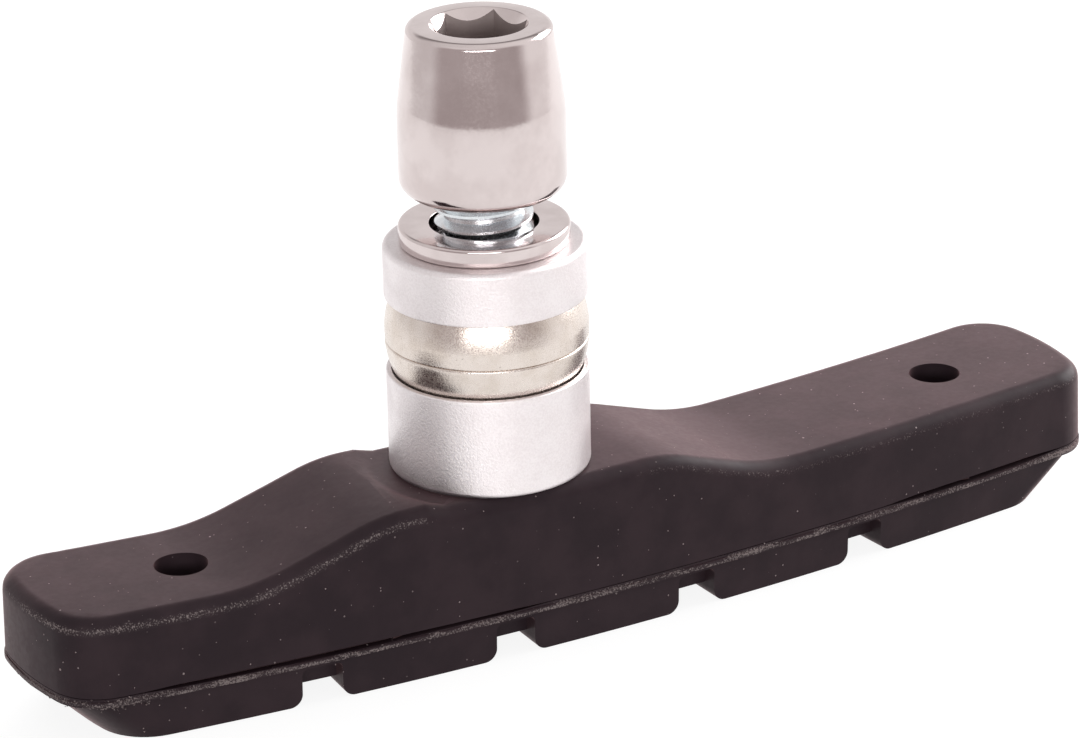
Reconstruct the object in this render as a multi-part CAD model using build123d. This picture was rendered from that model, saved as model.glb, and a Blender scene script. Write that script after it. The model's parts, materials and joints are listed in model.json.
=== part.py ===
from build123d import *
import math
import os

# A bicycle rim brake pad: a rubber shoe moulded round a steel plate and its M6 stud, a ball
# seat of cup and dome washers, a flat washer and a barrel nut.
# Millimetres and degrees. Z is the stud axis, away from the friction face. X runs along the
# pad, towards its long end, and Y across it, towards the centre of the wheel. The origin is
# where the stud axis meets the friction face.

# Pad seen from above, sizes at the parting line
rim_radius = 240.0          # curve of the pad's centreline, which follows the rim
short_reach = 30.27         # stud axis to the middle of the short end
long_reach = 43.25          # stud axis to the middle of the long end
body_width = 11.9
end_bulge = 1.0             # middle of each end past its corners
corner_radius = 3.4
side_draft = 2.4            # lean of the side walls above the parting line
end_draft = 0.3             # lean of the ends above the parting line

# Heights above the friction face
parting_height = 2.75
arm_height = 7.95
seat_height = 10.4          # flat seat of the washers on top of the hump
crest_rise = 0.35           # from the seat to the crest beside it, towards the short end

# Hump under the stud
seat_diameter = 14.2        # flat of the seat
seat_slope = 18.0           # of the way up from the seat to the crest
short_ramp_reach = 13.6     # stud axis to the middle of the ramp, short end
long_ramp_reach = 12.4      # stud axis to the middle of the ramp, long end
ramp_angle = 18.4
crest_blend = 10.0          # where a ramp meets the hump
foot_blend = 15.0           # where a ramp meets an arm
top_round = 1.0

# Friction blocks below the parting line
block_inset = 0.2           # blocks stand in from the body above them
block_draft = 1.75
short_end_slope = 44.7      # lean of the outer end of the first block
long_end_slope = 55.0       # lean of the outer end of the last block
groove_count = 4
groove_pitch = 12.45        # along the centreline
groove_middle = 4.7         # X of the middle of the row of grooves
groove_width = 2.6
groove_mouth_round = 0.8
channel_depth = 1.0         # groove through the middle of the pad
notch_height = 2.35         # groove where it opens in the side walls
notch_depth = 1.1           # from the side wall to the spine between two notches
notch_round = 0.4

# Flash left by the mould at the parting line
flash_proud = 0.06
flash_thickness = 0.3

# Mould pin holes in the arms, down to the plate
pin_hole_diameter = 3.25
short_pin_reach = 20.3
long_pin_reach = 33.6

# Steel plate inside the rubber
plate_bottom = 4.2
plate_thickness = 2.0
plate_width = 7.5
plate_end_cover = 4.0       # rubber beyond each end of the plate

# Stud, riveted in the plate
stud_diameter = 5.9         # over the crests of the M6 thread
stud_top = 31.8
stud_chamfer = 0.6
collar_diameter = 9.0       # from the plate to the seat of the washers
rivet_diameter = 6.4        # in the hole of the plate
rivet_head_diameter = 9.0
rivet_head_height = 1.0

# Ball seat: two domes between two cups
cup_diameter = 12.2
cup_bore_diameter = 6.6
thick_cup_height = 6.25
thin_cup_height = 3.3
cup_edge_round = 0.25
cup_rim_round = 0.1
ball_radius = 6.15
ball_band = 4.7             # height of the domes that shows between the cups
seat_clearance = 0.1
swivel_range = 8.0          # tilt of the domes each way
dome_diameter = 12.24
dome_bore_diameter = 8.0
dome_crown = 3.9            # ball centre to the flat end of each dome
dome_split_drop = 0.4       # the domes meet this far below the ball centre
dome_shoulder_round = 1.5
dome_edge_round = 0.12      # where the two domes meet

# Flat washer
washer_diameter = 10.26
washer_bore_diameter = 6.55
washer_thickness = 1.15
washer_edge_round = 0.2

# Barrel nut
nut_gap = 2.0               # washer to nut, as the nut stands on the thread
nut_height = 10.3
nut_diameter = 10.0
nut_top_diameter = 8.6
nut_straight_height = 5.2   # below the taper
nut_foot_round = 1.0
nut_taper_blend = 8.0
nut_top_round = 0.45
thread_clearance = 0.05     # nut bore over the stud, each side
thread_depth = 6.1          # threaded part of the nut's bore
tap_hole_diameter = 4.9
socket_width = 5.0          # across the flats of the hexagon
socket_depth = 3.6
socket_mouth_diameter = 5.9
socket_bevel_angle = 34.0   # wall of the bevelled mouth from the nut's axis
socket_turn = -17.4         # corner of the hexagon from the X axis, as the nut stands

CUT_MARGIN = 2.0            # how far cutters run past the faces that they open
ROUND_LIMIT = 0.9           # most of a half width that the round of a corner takes up
TOP_FACING = 0.5            # least upward part of the normal of a face that counts as a top
WALL_FACING = 0.2           # most upward part of the normal of a face that counts as a wall

# Heights worked out from these
thick_cup_rim = seat_height + thick_cup_height
ball_centre = thick_cup_rim + ball_band / 2
thin_cup_rim = thick_cup_rim + ball_band
washer_bottom = thin_cup_rim + thin_cup_height
nut_bottom = washer_bottom + washer_thickness + nut_gap
nut_top = nut_bottom + nut_height
plate_top = plate_bottom + plate_thickness
crest_height = seat_height + crest_rise

pad_middle = (long_reach - short_reach) / 2
curve_centre = Vector(pad_middle, math.sqrt(rim_radius**2 - pad_middle**2), 0)


def rim_point(x, inward=0.0):
    """Point of the pad's curve at x, moved towards the centre of the curve by inward."""
    radius = rim_radius - inward
    return Vector(x, curve_centre.Y - math.sqrt(radius**2 - (x - curve_centre.X)**2), 0)


def rim_plane(x):
    """Upright plane along the pad's curve at x: its X axis is the tangent, its Y axis is up."""
    point = rim_point(x)
    outward = (point - curve_centre).normalized()
    return Plane(origin=point, x_dir=Vector(-outward.Y, outward.X, 0), z_dir=outward)


def round_corner(face, point, radius):
    """Round the corner of a flat face that lies nearest to a point."""
    corner = min(face.vertices(), key=lambda vertex: (Vector(vertex) - Vector(*point)).length)
    return fillet(corner, radius)


def pad_outline(height, inset=0.0, short_inset=None, long_inset=None):
    """Plan outline of the pad at a height, moved in by inset, or by its own inset at an end."""
    left = -short_reach + (inset if short_inset is None else short_inset)
    right = long_reach - (inset if long_inset is None else long_inset)
    side = body_width / 2 - inset
    near = [rim_point(x, -side) for x in (left + end_bulge, pad_middle, right - end_bulge)]
    far = [rim_point(x, side) for x in (right - end_bulge, pad_middle, left + end_bulge)]
    outline = [
        ThreePointArc(*near),
        ThreePointArc(near[-1], rim_point(right), far[0]),
        ThreePointArc(*far),
        ThreePointArc(far[-1], rim_point(left), near[0]),
    ]
    face = make_face(Curve() + outline)
    rounded = fillet(face.vertices(), min(corner_radius, ROUND_LIMIT * side))
    return Pos(0, 0, height) * rounded


def ramp_cutter(x, towards_end, top_height):
    """Space above one arm, its ramp and the hump next to it, carried over the pad's width."""
    slope = math.tan(math.radians(ramp_angle))
    middle_height = (crest_height + arm_height) / 2
    crest = (-towards_end * (top_height - middle_height) / slope, top_height)
    foot = (towards_end * (middle_height - arm_height) / slope, arm_height)
    inner = -towards_end * (abs(x) + CUT_MARGIN)
    outer = towards_end * (short_reach + long_reach)
    top = top_height + 2 * CUT_MARGIN
    face = make_face(Polyline(
        (inner, top_height), crest, foot, (outer, arm_height), (outer, top), (inner, top), close=True))
    face = round_corner(face, crest, crest_blend)
    face = round_corner(face, foot, foot_blend)
    return extrude(rim_plane(x) * face, amount=2 * body_width, both=True)


def top_edges(body):
    """Edges where the top of a moulding meets its side walls."""
    tops = [face for face in body.faces() if face.normal_at().Z > TOP_FACING]
    walls = [face for face in body.faces() if abs(face.normal_at().Z) < WALL_FACING]
    wall_edges = [edge for wall in walls for edge in wall.edges()]
    return [edge for top in tops for edge in top.edges() if edge in wall_edges]


def turned(face):
    """Solid turned about the stud axis from a half section."""
    return revolve(Plane.XZ * face, axis=Axis.Z)


def make_seat_pocket():
    """Space above the washers' seat, which widens upwards to the crest beside it."""
    top = crest_height + CUT_MARGIN
    run = (top - seat_height) / math.tan(math.radians(seat_slope))
    seat = seat_diameter / 2
    return turned(make_face(Polyline(
        (0, seat_height), (seat, seat_height), (seat + run, top), (0, top), close=True)))


def make_shoe_body():
    """Drafted body above the parting line, with its arms, ramps and seat, and its top edges rounded."""
    rise = crest_height + CUT_MARGIN - parting_height
    side_lean = rise * math.tan(math.radians(side_draft))
    end_lean = rise * math.tan(math.radians(end_draft))
    blank_top = pad_outline(parting_height + rise, side_lean, end_lean, end_lean)
    body = loft([pad_outline(parting_height), blank_top], ruled=True)
    body -= ramp_cutter(-short_ramp_reach, -1, crest_height)
    body -= ramp_cutter(long_ramp_reach, 1, seat_height)
    body -= make_seat_pocket()
    return fillet(top_edges(body), top_round)


def make_block_row():
    """Lower part of the pad before it is grooved: narrower than the body, with leaning ends."""
    leans = (block_draft, short_end_slope, long_end_slope)
    foot_insets = [block_inset + parting_height * math.tan(math.radians(lean)) for lean in leans]
    return loft([pad_outline(0, *foot_insets), pad_outline(parting_height, block_inset)], ruled=True)


def groove_section():
    """Section of a groove: a slot with rounded upper corners and a flared mouth at the friction face."""
    slot = Rectangle(groove_width, notch_height, align=(Align.CENTER, Align.MIN))
    slot = fillet(slot.vertices().group_by(Axis.Y)[-1], notch_round)
    mouth_height = groove_mouth_round + CUT_MARGIN
    mouth = Pos(0, -CUT_MARGIN) * Rectangle(
        groove_width + 2 * groove_mouth_round, mouth_height, align=(Align.CENTER, Align.MIN))
    for side in (-1, 1):
        block_edge = Circle(groove_mouth_round)
        mouth -= Pos(side * (groove_width / 2 + groove_mouth_round), groove_mouth_round) * block_edge
    return slot + mouth


def make_grooves():
    """Cutters for the row of grooves, each left shallow in the middle by a spine along the pad."""
    first = groove_middle - groove_pitch * (groove_count - 1) / 2
    section = groove_section()
    slots = [extrude(rim_plane(first + i * groove_pitch) * section, amount=body_width, both=True)
             for i in range(groove_count)]
    spine = extrude(pad_outline(channel_depth, block_inset + notch_depth), amount=notch_height)
    return [slot - spine for slot in slots]


def make_rubber_pad(plate, stud):
    """Whole moulding, with room for the plate and stud that it is moulded round."""
    flash = extrude(pad_outline(parting_height - flash_thickness / 2, -flash_proud), amount=flash_thickness)
    pad = make_shoe_body() + make_block_row() + flash
    for groove in make_grooves():
        pad -= groove
    hole_length = arm_height - plate_top
    for x in (-short_pin_reach, long_pin_reach):
        pad -= Pos(*rim_point(x)) * Pos(0, 0, plate_top) * Cylinder(
            pin_hole_diameter / 2, hole_length + CUT_MARGIN, align=(Align.CENTER, Align.CENTER, Align.MIN))
    return pad - plate - stud


def make_backing_plate():
    """Steel strip that follows the pad's curve, with the hole that the stud is riveted in."""
    side_cover = (body_width - plate_width) / 2
    outline = pad_outline(plate_bottom, side_cover, plate_end_cover, plate_end_cover)
    strip = extrude(outline, amount=plate_thickness)
    return strip - Pos(0, 0, plate_bottom) * Cylinder(rivet_diameter / 2, 4 * plate_thickness)


def make_stud():
    """Threaded post with a collar that stands on the plate and a rivet head below it."""
    head_bottom = plate_bottom - rivet_head_height
    shank = stud_diameter / 2
    return turned(make_face(Polyline(
        (0, head_bottom),
        (rivet_head_diameter / 2, head_bottom),
        (rivet_head_diameter / 2, plate_bottom),
        (rivet_diameter / 2, plate_bottom),
        (rivet_diameter / 2, plate_top),
        (collar_diameter / 2, plate_top),
        (collar_diameter / 2, seat_height),
        (shank, seat_height),
        (shank, stud_top - stud_chamfer),
        (shank - stud_chamfer, stud_top),
        (0, stud_top),
        close=True,
    )))


def sphere_radius_at(radius, drop):
    """Distance from the axis to a ball's surface, at a height that differs by drop from its centre."""
    return math.sqrt(radius**2 - drop**2)


def ball_arc(radius, start, end, upwards):
    """Arc of the ball's section between two heights above or below its centre."""
    def point(drop):
        return (sphere_radius_at(radius, drop), ball_centre + upwards * drop)
    return ThreePointArc(point(start), point((start + end) / 2), point(end))


def make_cup(back, rim, upwards):
    """Cup washer from its flat back to its rim, dished to seat the ball. upwards is -1 below the ball."""
    seat = ball_radius + seat_clearance
    outer = cup_diameter / 2
    bore = cup_bore_diameter / 2
    rim_drop = abs(rim - ball_centre)
    crown_tilt = math.acos(dome_crown / ball_radius) - math.radians(swivel_range)
    floor_drop = ball_radius * math.cos(crown_tilt) + seat_clearance
    floor = ball_centre + upwards * floor_drop
    dish = ball_arc(seat, rim_drop, floor_drop, upwards)
    wall = Polyline(
        (sphere_radius_at(seat, floor_drop), floor),
        (bore, floor),
        (bore, back),
        (outer, back),
        (outer, rim),
        (sphere_radius_at(seat, rim_drop), rim),
    )
    face = make_face(Curve() + [wall, dish])
    face = round_corner(face, (outer, back), cup_edge_round)
    face = round_corner(face, (outer, rim), cup_rim_round)
    return turned(face)


def make_dome(upwards):
    """Dome washer: a straight edge that blends into the ball, flat at its end and where two domes meet."""
    split = ball_centre - dome_split_drop
    outer = dome_diameter / 2
    bore = dome_bore_diameter / 2
    shoulder_drop = sphere_radius_at(ball_radius, outer)
    end = ball_centre + upwards * dome_crown
    shoulder = (outer, ball_centre + upwards * shoulder_drop)
    crown = ball_arc(ball_radius, shoulder_drop, dome_crown, upwards)
    wall = Polyline(
        (sphere_radius_at(ball_radius, dome_crown), end),
        (bore, end),
        (bore, split),
        (outer, split),
        shoulder,
    )
    face = make_face(Curve() + [wall, crown])
    face = round_corner(face, shoulder, dome_shoulder_round)
    face = round_corner(face, (outer, split), dome_edge_round)
    return turned(face)


def make_flat_washer():
    """Plain washer with rounded outer edges."""
    outer = washer_diameter / 2
    bore = washer_bore_diameter / 2
    top = washer_bottom + washer_thickness
    corners = [(outer, washer_bottom), (outer, top)]
    face = make_face(Polyline((bore, washer_bottom), *corners, (bore, top), close=True))
    for corner in corners:
        face = round_corner(face, corner, washer_edge_round)
    return turned(face)


def make_barrel_nut():
    """Tapered round nut: threaded bore below, bevelled hexagon socket above."""
    bore = stud_diameter / 2 + thread_clearance
    tap = tap_hole_diameter / 2
    thread_end = nut_bottom + thread_depth
    foot = (nut_diameter / 2, nut_bottom)
    waist = (nut_diameter / 2, nut_bottom + nut_straight_height)
    crown = (nut_top_diameter / 2, nut_top)
    hole = [(tap, nut_top), (tap, thread_end), (bore, thread_end), (bore, nut_bottom)]
    face = make_face(Polyline(foot, waist, crown, *hole, close=True))
    face = round_corner(face, foot, nut_foot_round)
    face = round_corner(face, waist, nut_taper_blend)
    face = round_corner(face, crown, nut_top_round)
    hexagon = Rot(0, 0, socket_turn) * RegularPolygon(socket_width / 2, 6, major_radius=False)
    socket = extrude(Pos(0, 0, nut_top - socket_depth) * hexagon, amount=socket_depth + CUT_MARGIN)
    mouth = socket_mouth_diameter / 2
    bevel_depth = mouth / math.tan(math.radians(socket_bevel_angle))
    cone = Polyline((0, nut_top - bevel_depth), (mouth, nut_top), (0, nut_top), close=True)
    return turned(face) - socket - turned(make_face(cone))


def main():
    """Build every piece and write one file for each."""
    plate = make_backing_plate()
    stud = make_stud()
    pieces = {
        "rubber_pad": make_rubber_pad(plate, stud),
        "backing_plate": plate,
        "stud": stud,
        "thick_cup_washer": make_cup(seat_height, thick_cup_rim, -1),
        "lower_dome_washer": make_dome(-1),
        "upper_dome_washer": make_dome(1),
        "thin_cup_washer": make_cup(washer_bottom, thin_cup_rim, 1),
        "flat_washer": make_flat_washer(),
        "barrel_nut": make_barrel_nut(),
    }
    os.makedirs("parts", exist_ok=True)
    for name, piece in pieces.items():
        export_step(piece, f"parts/{name}.step")


main()
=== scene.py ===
"""Dress a bicycle rim brake pad in Blender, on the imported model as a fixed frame.

The washers, the nut and the stud are turned about the stud axis from half sections. The rubber
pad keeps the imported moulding's own surface, with the crease and the crumbly flash of its mould
added. Sizes are millimetres, and MM turns them into Blender's metres.
"""

from __future__ import annotations

import json
import logging
import math
import random
from dataclasses import dataclass, field
from enum import Enum
from typing import Any

import bmesh
import bpy
from bmesh.types import BMEdge, BMesh, BMLayerItem, BMVert
from bpy.types import Material
from bpy.types import NodeSocket as Socket
from mathutils import Euler, Matrix, Vector, noise

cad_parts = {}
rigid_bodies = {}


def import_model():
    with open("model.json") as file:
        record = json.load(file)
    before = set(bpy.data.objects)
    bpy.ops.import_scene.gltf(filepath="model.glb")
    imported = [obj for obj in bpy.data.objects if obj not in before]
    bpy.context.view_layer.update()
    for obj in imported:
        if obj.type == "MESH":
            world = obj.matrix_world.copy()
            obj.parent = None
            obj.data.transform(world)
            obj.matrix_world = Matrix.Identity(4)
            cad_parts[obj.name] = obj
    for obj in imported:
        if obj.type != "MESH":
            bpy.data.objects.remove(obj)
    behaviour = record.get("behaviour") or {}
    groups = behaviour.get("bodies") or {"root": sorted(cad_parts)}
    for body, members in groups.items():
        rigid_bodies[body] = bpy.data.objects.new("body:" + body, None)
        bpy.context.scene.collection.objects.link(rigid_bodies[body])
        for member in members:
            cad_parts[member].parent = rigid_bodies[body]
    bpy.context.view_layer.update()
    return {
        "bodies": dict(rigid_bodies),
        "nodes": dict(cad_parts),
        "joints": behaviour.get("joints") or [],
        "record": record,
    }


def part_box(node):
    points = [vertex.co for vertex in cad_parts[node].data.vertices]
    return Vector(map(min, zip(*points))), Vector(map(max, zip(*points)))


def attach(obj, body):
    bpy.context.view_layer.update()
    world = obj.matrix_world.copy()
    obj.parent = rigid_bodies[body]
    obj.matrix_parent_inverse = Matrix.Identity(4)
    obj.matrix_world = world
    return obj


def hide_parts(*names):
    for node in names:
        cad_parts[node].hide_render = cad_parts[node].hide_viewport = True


MM = 0.001
MERGE_DISTANCE = 0.0005 * MM
LOG = logging.getLogger("brake_pad")

Colour = tuple[float, float, float]
Range = tuple[float, float]
Place = tuple[float, float, float]

WHITE: Colour = (1.0, 1.0, 1.0)
USUAL_NOISE: Range = (0.3, 0.7)


class Body(Enum):
    """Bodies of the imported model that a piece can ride."""

    PAD = "pad_and_stud"
    DOMES = "dome_washers"
    NUT = "nut"


class Facing(Enum):
    """Side of the ball centre that a washer of the ball seat lies on."""

    BELOW = -1
    ABOVE = 1


class NodeGraph:
    """Short way to add the nodes of one material or world and link them."""

    def __init__(self, tree: bpy.types.NodeTree) -> None:
        """Start from an empty tree."""
        self.tree = tree
        tree.nodes.clear()

    def add(self, kind: str, inputs: dict[str | int, Any] | None = None, **settings: Any) -> bpy.types.Node:
        """Add one node.

        Args:
            kind: Blender's name of the node type, without its ShaderNode start.
            inputs: a value to set, or a socket to link, for each named or numbered input.
            **settings: the node's own properties.

        Returns:
            The new node.
        """
        node = self.tree.nodes.new(f"ShaderNode{kind}")
        for name, value in settings.items():
            setattr(node, name, value)
        for name, value in (inputs or {}).items():
            if isinstance(value, Socket):
                self.tree.links.new(value, node.inputs[name])
            else:
                node.inputs[name].default_value = value
        return node

    def place(self) -> Socket:
        """Object coordinates, in metres."""
        return self.add("TexCoord").outputs["Object"]

    def cloud(self, scale: float, detail: float = 3.0, roughness: float = 0.55,
              vector: Socket | None = None) -> Socket:
        """Soft noise.

        Args:
            scale: features per metre.
            detail: octaves of finer noise.
            roughness: share of the finer noise.
            vector: coordinates to use in place of the object's own.

        Returns:
            Socket with values about 0.5.
        """
        inputs = {"Vector": vector or self.place(), "Scale": scale, "Detail": detail, "Roughness": roughness}
        return self.add("TexNoise", inputs).outputs["Fac"]

    def ramp(self, value: Socket, low: float, high: float,
             start: float = 0.0, end: float = 1.0) -> Socket:
        """Map the range from low to high smoothly onto the range from start to end."""
        inputs = {"Value": value, "From Min": low, "From Max": high, "To Min": start, "To Max": end}
        return self.add("MapRange", inputs, interpolation_type="SMOOTHSTEP").outputs["Result"]

    def sum(self, operation: str, first: Any, second: Any) -> Socket:
        """One step of arithmetic on two numbers or sockets."""
        return self.add("Math", {0: first, 1: second}, operation=operation).outputs[0]

    def blend(self, share: Any, first: Any, second: Any) -> Socket:
        """Mix two colours, each a colour or a socket, by a share."""
        inputs = {0: share, 6: opaque(first), 7: opaque(second)}
        return self.add("Mix", inputs, data_type="RGBA").outputs[2]

    def along(self, direction: Socket, axis: Vector) -> Socket:
        """Share of a direction that points along an axis."""
        inputs = {0: direction, 1: axis.normalized()}
        return self.add("VectorMath", inputs, operation="DOT_PRODUCT").outputs["Value"]

    def relief(self, height: Socket, depth: float, under: Socket | None = None) -> Socket:
        """Bump a surface.

        Args:
            height: relief from 0 to 1.
            depth: real depth of that relief, in millimetres.
            under: normal of a coarser relief below this one.

        Returns:
            The bent normal.
        """
        inputs = {"Height": height, "Distance": depth * MM, "Strength": 1.0}
        if under is not None:
            inputs["Normal"] = under
        return self.add("Bump", inputs).outputs["Normal"]

    def surface(self, **inputs: Any) -> None:
        """Add a Principled shader and show it.

        Args:
            **inputs: a value or a socket for each input, with underscores for the spaces in its name.
        """
        named = {name.replace("_", " "): value for name, value in inputs.items()}
        for name in ("Base Color", "Sheen Tint", "Specular Tint"):
            if name in named:
                named[name] = opaque(named[name])
        shader = self.add("BsdfPrincipled", named)
        self.add("OutputMaterial", {"Surface": shader.outputs[0]})


def opaque(colour: Any) -> Any:
    """A colour with its alpha, or a socket as it is."""
    return (*colour, 1.0) if isinstance(colour, tuple) else colour


def new_material(name: str) -> tuple[Material, NodeGraph]:
    """Make an empty node material.

    Args:
        name: name of the material.

    Returns:
        The material and the graph to fill it with.
    """
    material = bpy.data.materials.new(name)
    material.use_nodes = True
    return material, NodeGraph(material.node_tree)


@dataclass(frozen=True)
class MouldedRubber:
    """Brown-black moulded rubber with dust, and pale grain where it is worn or torn; the pale along the
    rounded top edges is partly wear and partly a painted highlight.

    Scales are features per metre, and depths are millimetres.
    """

    name: str = "moulded_rubber_dusty"
    deep: Colour = (0.0280, 0.0178, 0.0222)
    bloom: Colour = (0.0420, 0.0268, 0.0320)
    worn: Colour = (0.30, 0.25, 0.245)
    dust: Colour = (0.45, 0.37, 0.37)
    sheen: Colour = (1.0, 0.57, 0.58)
    sheen_weight: float = 0.28
    gloss: float = 0.13
    sheen_roughness: float = 0.35
    cloud_scale: float = 260.0
    cloud_range: Range = (0.34, 0.68)
    cloud_depth: float = 0.03
    skin_scale: float = 2600.0
    skin_depth: float = 0.0025
    skin_roughness: Range = (0.42, 0.50)
    grain_scale: float = 9200.0
    grain_lift: float = 0.30
    torn_range: Range = (0.60, 0.76)
    torn_start: Range = (0.02, 0.25)
    torn_depth: float = 0.06
    # smooth pale mixed in where worn; on the top edges it is a painted highlight
    smooth_wear_and_highlight: float = 0.12
    patch_scale: float = 420.0
    patch_range: Range = (0.3, 0.62)
    least_rubbed: float = 0.65
    drift_scale: float = 170.0
    drift_range: Range = (0.42, 0.62)
    least_dust: float = 0.25
    fine_specks: Range = (0.50, 0.066)
    coarse_specks: Range = (2.1, 0.10)
    empty_cells: float = 0.25
    speck_edge: float = 0.3
    speck_depth: float = 0.04
    # the wear attribute also holds the painted highlight of the rounded top edges
    wear_and_highlight_attribute: str = "wear"

    def material(self) -> Material:
        """Mix the rubber, its wear with the painted highlight along the top edges, and its dust.

        Returns:
            Material that reads the wear attribute of the pad's mesh.
        """
        material, graph = new_material(self.name)
        clouds = graph.cloud(self.cloud_scale, detail=4.0)
        colour = graph.blend(graph.ramp(clouds, *self.cloud_range), self.deep, self.bloom)
        wear = graph.add("Attribute", attribute_name=self.wear_and_highlight_attribute).outputs["Fac"]
        grain = graph.cloud(self.grain_scale, detail=3.0, roughness=0.65)
        patches = graph.cloud(self.patch_scale, detail=2.0)
        uneven_rub = graph.ramp(patches, *self.patch_range, self.least_rubbed, 1.0)
        worn_and_highlit = graph.sum("MULTIPLY", wear, uneven_rub)
        pale = graph.sum("ADD", grain, graph.sum("MULTIPLY", worn_and_highlit, self.grain_lift))
        torn = graph.sum(
            "MULTIPLY", graph.ramp(pale, *self.torn_range), graph.ramp(worn_and_highlit, *self.torn_start))
        # smooth pale on worn places, which on the top edges is a painted highlight
        colour = graph.blend(graph.sum("MULTIPLY", worn_and_highlit, self.smooth_wear_and_highlight), colour, self.worn)
        colour = graph.blend(torn, colour, self.worn)
        drift_noise = graph.cloud(self.drift_scale, detail=2.0)
        drifts = graph.ramp(drift_noise, *self.drift_range, self.least_dust, 1.0)
        fine = graph.sum("MULTIPLY", self.specks(graph, *self.fine_specks), drifts)
        specks = graph.sum("MAXIMUM", fine, self.specks(graph, *self.coarse_specks))
        colour = graph.blend(specks, colour, self.dust)
        skin = graph.cloud(self.skin_scale, detail=3.0)
        normal = graph.relief(clouds, self.cloud_depth)
        normal = graph.relief(skin, self.skin_depth, under=normal)
        normal = graph.relief(graph.sum("MULTIPLY", grain, worn_and_highlit), self.torn_depth, under=normal)
        normal = graph.relief(specks, self.speck_depth, under=normal)
        graph.surface(
            Base_Color=colour,
            Roughness=graph.ramp(skin, *USUAL_NOISE, *self.skin_roughness),
            Specular_IOR_Level=self.gloss,
            Sheen_Weight=self.sheen_weight,
            Sheen_Roughness=self.sheen_roughness,
            Sheen_Tint=self.sheen,
            Normal=normal,
        )
        return material

    def specks(self, graph: NodeGraph, spacing: float, largest: float) -> Socket:
        """Mask of scattered dust, each speck of its own size.

        Args:
            graph: graph of the material.
            spacing: distance between specks, in millimetres.
            largest: radius of the largest, in millimetres.

        Returns:
            Socket that is 1 on a speck.
        """
        cells = graph.add("TexVoronoi", {"Vector": graph.place(), "Scale": 1 / (spacing * MM)})
        chance = graph.add("SeparateColor", {"Color": cells.outputs["Color"]}).outputs["Red"]
        share = largest / spacing
        size = graph.ramp(chance, self.empty_cells, 1.0, 0.0, share)
        inside = graph.sum("SUBTRACT", size, cells.outputs["Distance"])
        return graph.ramp(inside, 0.0, self.speck_edge * share)


@dataclass(frozen=True)
class PlatedSteel:
    """Plated steel: a bright coat with fine grain and faint blotches, and dark pits where it has them.

    Sizes and depths are millimetres.
    """

    name: str
    bright: Colour
    dull: Colour
    smooth: float
    rough: float
    grain_size: float
    grain_depth: float
    blotch_size: float = 2.5
    blotch_range: Range = (0.35, 0.68)
    blotch_depth: float = 0.012
    grain_range: Range = (0.3, 0.72)
    pit_share: float = 0.0
    pit_range: Range = (0.66, 0.78)
    pit_strength: float = 0.75
    pit: Colour = (0.20, 0.18, 0.15)
    metallic: float = 1.0

    def material(self) -> Material:
        """Mix one plating.

        Returns:
            Its material.
        """
        material, graph = new_material(self.name)
        blotches = graph.cloud(1 / (self.blotch_size * MM), detail=4.0)
        grain = graph.cloud(1 / (self.grain_size * MM), detail=3.0, roughness=0.6)
        colour = graph.blend(graph.ramp(blotches, *self.blotch_range), self.bright, self.dull)
        if self.pit_share:
            start, full = self.pit_range
            pits = graph.ramp(grain, start - self.pit_share, full)
            colour = graph.blend(graph.sum("MULTIPLY", pits, self.pit_strength), colour, self.pit)
        uneven = graph.relief(blotches, self.blotch_depth)
        graph.surface(
            Base_Color=colour,
            Metallic=self.metallic,
            Roughness=graph.ramp(grain, *self.grain_range, self.smooth, self.rough),
            Normal=graph.relief(grain, self.grain_depth, under=uneven),
        )
        return material


@dataclass(frozen=True)
class BlastedAluminium:
    """Aluminium blasted matt, with a fine sparkling grain.

    Scales are features per metre, and the depth is in millimetres.
    """

    pale: Colour = (0.875, 0.825, 0.830)
    grey: Colour = (0.805, 0.750, 0.755)
    smooth: float = 0.38
    rough: float = 0.50
    grain_scale: float = 7600.0
    grain_share: float = 0.7
    grain_depth: float = 0.034
    cloud_scale: float = 480.0
    mottle_range: Range = (0.40, 0.62)

    def material(self) -> Material:
        """Mix the blasted surface.

        Returns:
            Material of the cup washers.
        """
        material, graph = new_material("blasted_aluminium_matt")
        grain = graph.cloud(self.grain_scale, detail=4.0, roughness=0.68)
        clouds = graph.cloud(self.cloud_scale, detail=3.0)
        fine = graph.sum("MULTIPLY", grain, self.grain_share)
        mottle = graph.sum("ADD", fine, graph.sum("MULTIPLY", clouds, 1 - self.grain_share))
        graph.surface(
            Base_Color=graph.blend(graph.ramp(mottle, *self.mottle_range), self.pale, self.grey),
            Metallic=1.0,
            Roughness=graph.ramp(clouds, *USUAL_NOISE, self.smooth, self.rough),
            Normal=graph.relief(grain, self.grain_depth),
        )
        return material


@dataclass(frozen=True)
class RolledSteel:
    """Dark rolled steel with the bonding coat that holds the rubber."""

    coat: Colour = (0.030, 0.026, 0.026)
    bare: Colour = (0.16, 0.15, 0.15)
    bare_range: Range = (0.55, 0.75)
    streak_scale: float = 1500.0
    streak_depth: float = 0.02
    roughness: Range = (0.45, 0.7)
    metallic: float = 0.4

    def material(self) -> Material:
        """Mix the coat and the bare steel.

        Returns:
            Material of the plate, which shows only at the bottom of the pin holes.
        """
        material, graph = new_material("rolled_steel_coated")
        streaks = graph.cloud(self.streak_scale, detail=4.0)
        graph.surface(
            Base_Color=graph.blend(graph.ramp(streaks, *self.bare_range), self.coat, self.bare),
            Metallic=self.metallic,
            Roughness=graph.ramp(streaks, *USUAL_NOISE, *self.roughness),
            Normal=graph.relief(streaks, self.streak_depth),
        )
        return material


# Darker, duller rubber for the faces along the crease: painted shade in the crease.
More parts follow.
